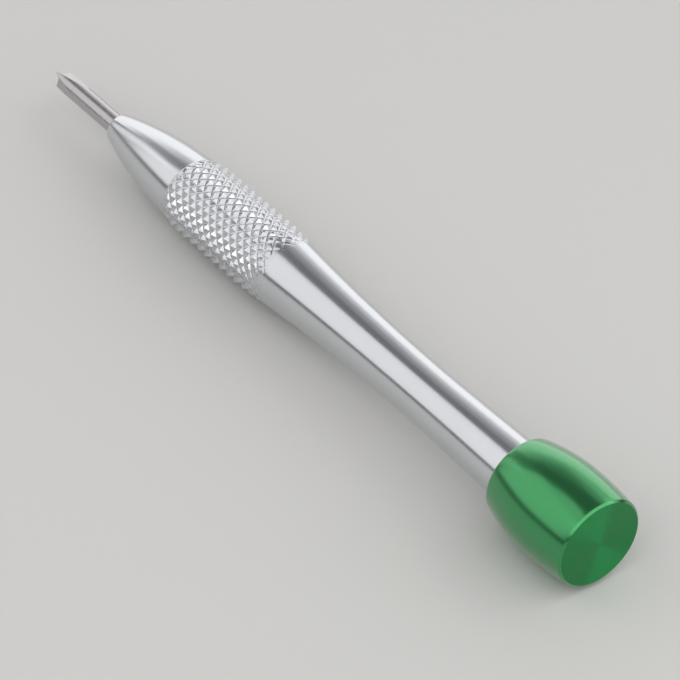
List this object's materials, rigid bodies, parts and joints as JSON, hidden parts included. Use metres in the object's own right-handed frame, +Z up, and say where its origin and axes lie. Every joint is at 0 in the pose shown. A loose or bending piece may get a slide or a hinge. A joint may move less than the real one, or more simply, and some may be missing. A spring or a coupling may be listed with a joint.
{
  "type": "y-shaped screwdriver",
  "caption": "Precision screwdriver with a Y-shaped tri-wing blade, a knurled and waisted aluminium handle, and a free-spinning green barrel cap for the fingertip.",
  "frame": {"origin": "centre of the bounding box's base: the tool lies on the surface at z = 0", "axes": "+X from the blade's tip towards the cap, +Z up; the tool's own axis lies in the XZ plane and rises about 1 degree towards the cap, as the tool rests on the knurl's first crests and the cap's belly"},
  "size_m": [0.1101, 0.0128, 0.0129],
  "materials": {
    "blade_steel": "ground, bright",
    "handle_aluminium": "fine turned, satin",
    "cap_green_anodised": "green anodised, satin gloss",
    "bearing_ring_steel": "ground",
    "ball_steel": "polished",
    "cage_steel": "pressed strip",
    "shield_steel": "pressed sheet",
    "snap_ring_steel": "spring wire",
    "zinc_plated_steel": "bright zinc plated"
  },
  "bodies": {
    "handle": {"handle": "handle_aluminium", "blade": "blade_steel", "bearing_inner_ring": "bearing_ring_steel", "retaining_washer": "zinc_plated_steel", "retaining_screw": "zinc_plated_steel"},
    "cap": {"swivel_cap": "cap_green_anodised", "bearing_outer_ring": "bearing_ring_steel", "bearing_shield_front": "shield_steel", "bearing_shield_rear": "shield_steel", "shield_snap_ring_front": "snap_ring_steel", "shield_snap_ring_rear": "snap_ring_steel"},
    "cage": {"bearing_cage_front": "cage_steel", "bearing_cage_rear": "cage_steel", "bearing_ball_1": "ball_steel", "bearing_ball_2": "ball_steel", "bearing_ball_3": "ball_steel", "bearing_ball_4": "ball_steel", "bearing_ball_5": "ball_steel", "bearing_ball_6": "ball_steel", "bearing_ball_7": "ball_steel"}
  },
  "joints": [
    {"name": "cap_spin", "type": "hinge", "parent": "handle", "child": "cap", "pos_m": [0.04388, 0, 0.00635], "axis": [0.9998, 0, 0.0185], "continuous": true},
    {"name": "cage_spin", "type": "hinge", "parent": "handle", "child": "cage", "pos_m": [0.04388, 0, 0.00635], "axis": [0.9998, 0, 0.0185], "continuous": true}
  ],
  "couplings": [
    {"joint": "cage_spin", "follows": "cap_spin", "ratio": 0.64436}
  ]
}
